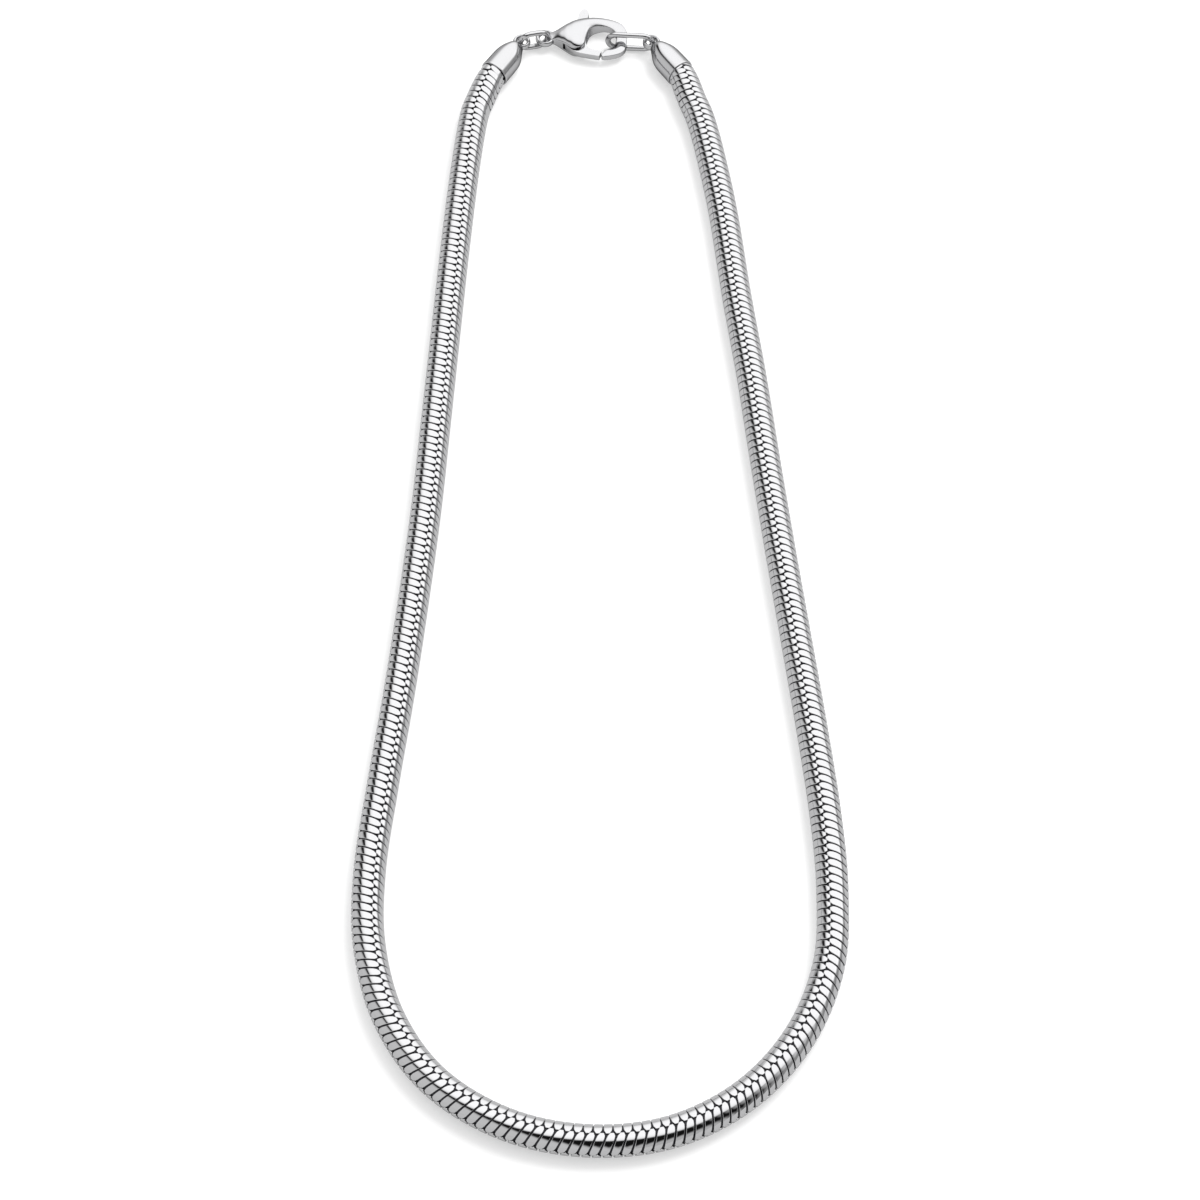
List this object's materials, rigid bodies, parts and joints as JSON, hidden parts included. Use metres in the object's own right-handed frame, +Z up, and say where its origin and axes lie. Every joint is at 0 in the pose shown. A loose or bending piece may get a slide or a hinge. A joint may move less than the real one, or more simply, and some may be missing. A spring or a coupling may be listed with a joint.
{
  "type": "snake chain necklace",
  "caption": "Round snake chain necklace laid flat in a closed loop, cup end caps joined by oval links to a trigger clasp whose gate arm turns open.",
  "frame": {"origin": "centre of the necklace's bounding box seen from above, on the surface it lies on", "axes": "+Z up off the surface, +Y from the bottom of the loop to the clasp, +X to the wearer's side seen on the right in the picture"},
  "size_m": [0.0723, 0.2051, 0.005],
  "materials": {
    "chain": "polished snake links",
    "fittings": "polished"
  },
  "bodies": {
    "necklace": {"snake_chain": "chain", "end_cap_left": "fittings", "end_cap_right": "fittings", "link_left": "fittings", "link_right": "fittings", "clasp_body": "fittings"},
    "lever": {"clasp_lever": "fittings"}
  },
  "joints": [
    {"name": "lever", "type": "hinge", "parent": "necklace", "child": "lever", "pos_m": [-0.0036, 0.0956, 0.0018], "axis": [0, 0, 1], "range_deg": [0, 25], "stiffness_Nm_per_rad": 0.002, "springref_deg": -17.19}
  ]
}
